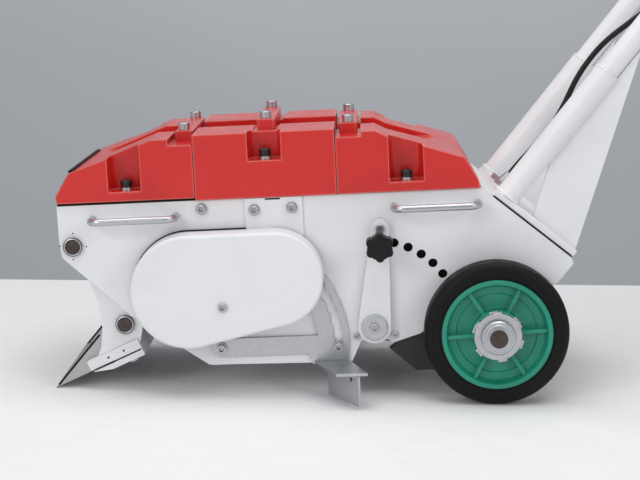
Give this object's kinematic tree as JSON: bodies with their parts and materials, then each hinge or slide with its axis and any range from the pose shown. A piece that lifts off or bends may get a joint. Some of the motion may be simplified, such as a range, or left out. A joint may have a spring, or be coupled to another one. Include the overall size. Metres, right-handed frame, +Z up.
{
  "type": "floor stripping machine",
  "caption": "Walk-behind floor covering stripper with an oscillating blade, bolt-on weights, a belt drive, a swing wheel carrier with index lever and a tubular push handle.",
  "frame": {"origin": "on the floor, at the centre of the machine's bounding box", "axes": "+X to the rear and the operator, +Y to the machine's right-hand side, +Z up"},
  "size_m": [1.2748, 0.445, 0.9521],
  "materials": {
    "white_paint": "semi-gloss powder coat",
    "red_paint": "gloss enamel on cast iron",
    "green_paint": "satin enamel",
    "tyre_rubber": "matt",
    "black_rubber": "matt",
    "zinc": "bright zinc plate",
    "dark_steel": "oiled, blackened",
    "blade_steel": "ground spring steel",
    "black_paint": "satin",
    "cast_iron": "machined",
    "motor_paint": "satin grey",
    "black_plastic": "moulded",
    "cable_jacket": "satin jacket",
    "red_plastic": "gloss"
  },
  "bodies": {
    "chassis": {"left_side_plate": "white_paint", "right_side_plate": "white_paint", "top_deck": "white_paint", "front_panel": "white_paint", "floor_pan": "white_paint", "rear_deck": "white_paint", "deck_seal": "black_rubber", "lift_handles": "zinc", "front_weight": "red_paint", "middle_weight": "red_paint", "rear_weight": "red_paint", "clamp_bars": "red_paint", "clamp_screws_and_washers": "zinc", "weight_screws": "black_paint", "nose_strip": "black_rubber", "drive_belt": "black_rubber", "motor_housing": "motor_paint", "shaft_bearings": "zinc", "belt_guard": "white_paint", "head_pivot_shaft": "dark_steel", "deflector_bolts": "zinc", "handle_tubes": "white_paint", "handle_base": "white_paint", "handle_crossbars": "white_paint", "handle_grips": "black_rubber", "control_box": "black_plastic", "cable_gland": "zinc", "control_cable": "cable_jacket", "cable_clip": "black_plastic", "body_screws": "zinc"},
    "motor_rotor": {"motor_shaft": "dark_steel", "motor_pulley": "cast_iron"},
    "eccentric": {"eccentric_shaft": "dark_steel", "driven_pulley": "cast_iron"},
    "blade_head": {"head_frame": "white_paint", "rod_pin": "dark_steel", "upper_jaw": "white_paint", "lower_jaw": "white_paint", "blade": "blade_steel", "jaw_screws": "zinc"},
    "rod": {"connecting_rod": "dark_steel"},
    "carrier": {"wheel_carrier": "black_paint", "carrier_shaft": "dark_steel", "gear_case": "black_paint", "drive_motor": "black_paint", "axle_bearings": "black_paint", "index_lever": "white_paint", "lever_screws": "zinc"},
    "lock_knob": {"star_knob": "black_plastic", "knob_stud": "zinc"},
    "wheels": {"axle": "dark_steel", "tyres": "tyre_rubber", "wheel_hubs": "green_paint", "wheel_locks": "zinc"},
    "left_deflector_arm": {"left_deflector": "zinc", "left_wiper_plate": "zinc"},
    "right_deflector_arm": {"right_deflector": "zinc", "right_wiper_plate": "zinc"},
    "bail": {"dead_man_bail": "dark_steel"},
    "stop": {"stop_button": "red_plastic"}
  },
  "joints": [
    {"name": "carrier_swing", "type": "hinge", "parent": "chassis", "child": "carrier", "pos_m": [-0.18503, 0, 0.10005], "axis": [0, 1, 0], "range_deg": [0, 49.3]},
    {"name": "lock_knob_slide", "type": "slide", "parent": "carrier", "child": "lock_knob", "axis": [0, 1, 0], "range_m": [0, 0.0115]},
    {"name": "wheel_spin", "type": "hinge", "parent": "carrier", "child": "wheels", "pos_m": [-0.01778, 0, 0.1], "axis": [0, 1, 0], "continuous": true},
    {"name": "head_swing", "type": "hinge", "parent": "chassis", "child": "blade_head", "pos_m": [-0.60539, 0, 0.20771], "axis": [0, 1, 0], "range_deg": [-2.61, 0]},
    {"name": "rod_swing", "type": "hinge", "parent": "blade_head", "child": "rod", "pos_m": [-0.53533, 0, 0.0963], "axis": [0, 1, 0], "range_deg": [0, 2.61]},
    {"name": "motor_spin", "type": "hinge", "parent": "chassis", "child": "motor_rotor", "pos_m": [-0.31912, 0, 0.17298], "axis": [0, 1, 0], "continuous": true},
    {"name": "eccentric_spin", "type": "hinge", "parent": "chassis", "child": "eccentric", "pos_m": [-0.44546, 0, 0.15719], "axis": [0, 1, 0], "continuous": true},
    {"name": "left_deflector_swing", "type": "hinge", "parent": "chassis", "child": "left_deflector_arm", "pos_m": [-0.39849, 0, 0.06558], "axis": [0, 1, 0], "range_deg": [0, 32]},
    {"name": "right_deflector_swing", "type": "hinge", "parent": "chassis", "child": "right_deflector_arm", "pos_m": [-0.39849, 0, 0.06558], "axis": [0, 1, 0], "range_deg": [0, 32]},
    {"name": "bail_swing", "type": "hinge", "parent": "chassis", "child": "bail", "pos_m": [0.40888, 0, 0.82031], "axis": [0, 1, 0], "range_deg": [0, 16], "stiffness_Nm_per_rad": 1.2, "springref_deg": -28.65},
    {"name": "stop_button_press", "type": "slide", "parent": "chassis", "child": "stop", "axis": [0.7951, 0, -0.6064], "range_m": [0, 0.006], "stiffness_N_per_m": 400, "springref_m": -0.006}
  ],
  "couplings": [
    {"joint": "rod_swing", "follows": "head_swing", "ratio": -1},
    {"joint": "eccentric_spin", "follows": "motor_spin", "ratio": 0.71429}
  ]
}
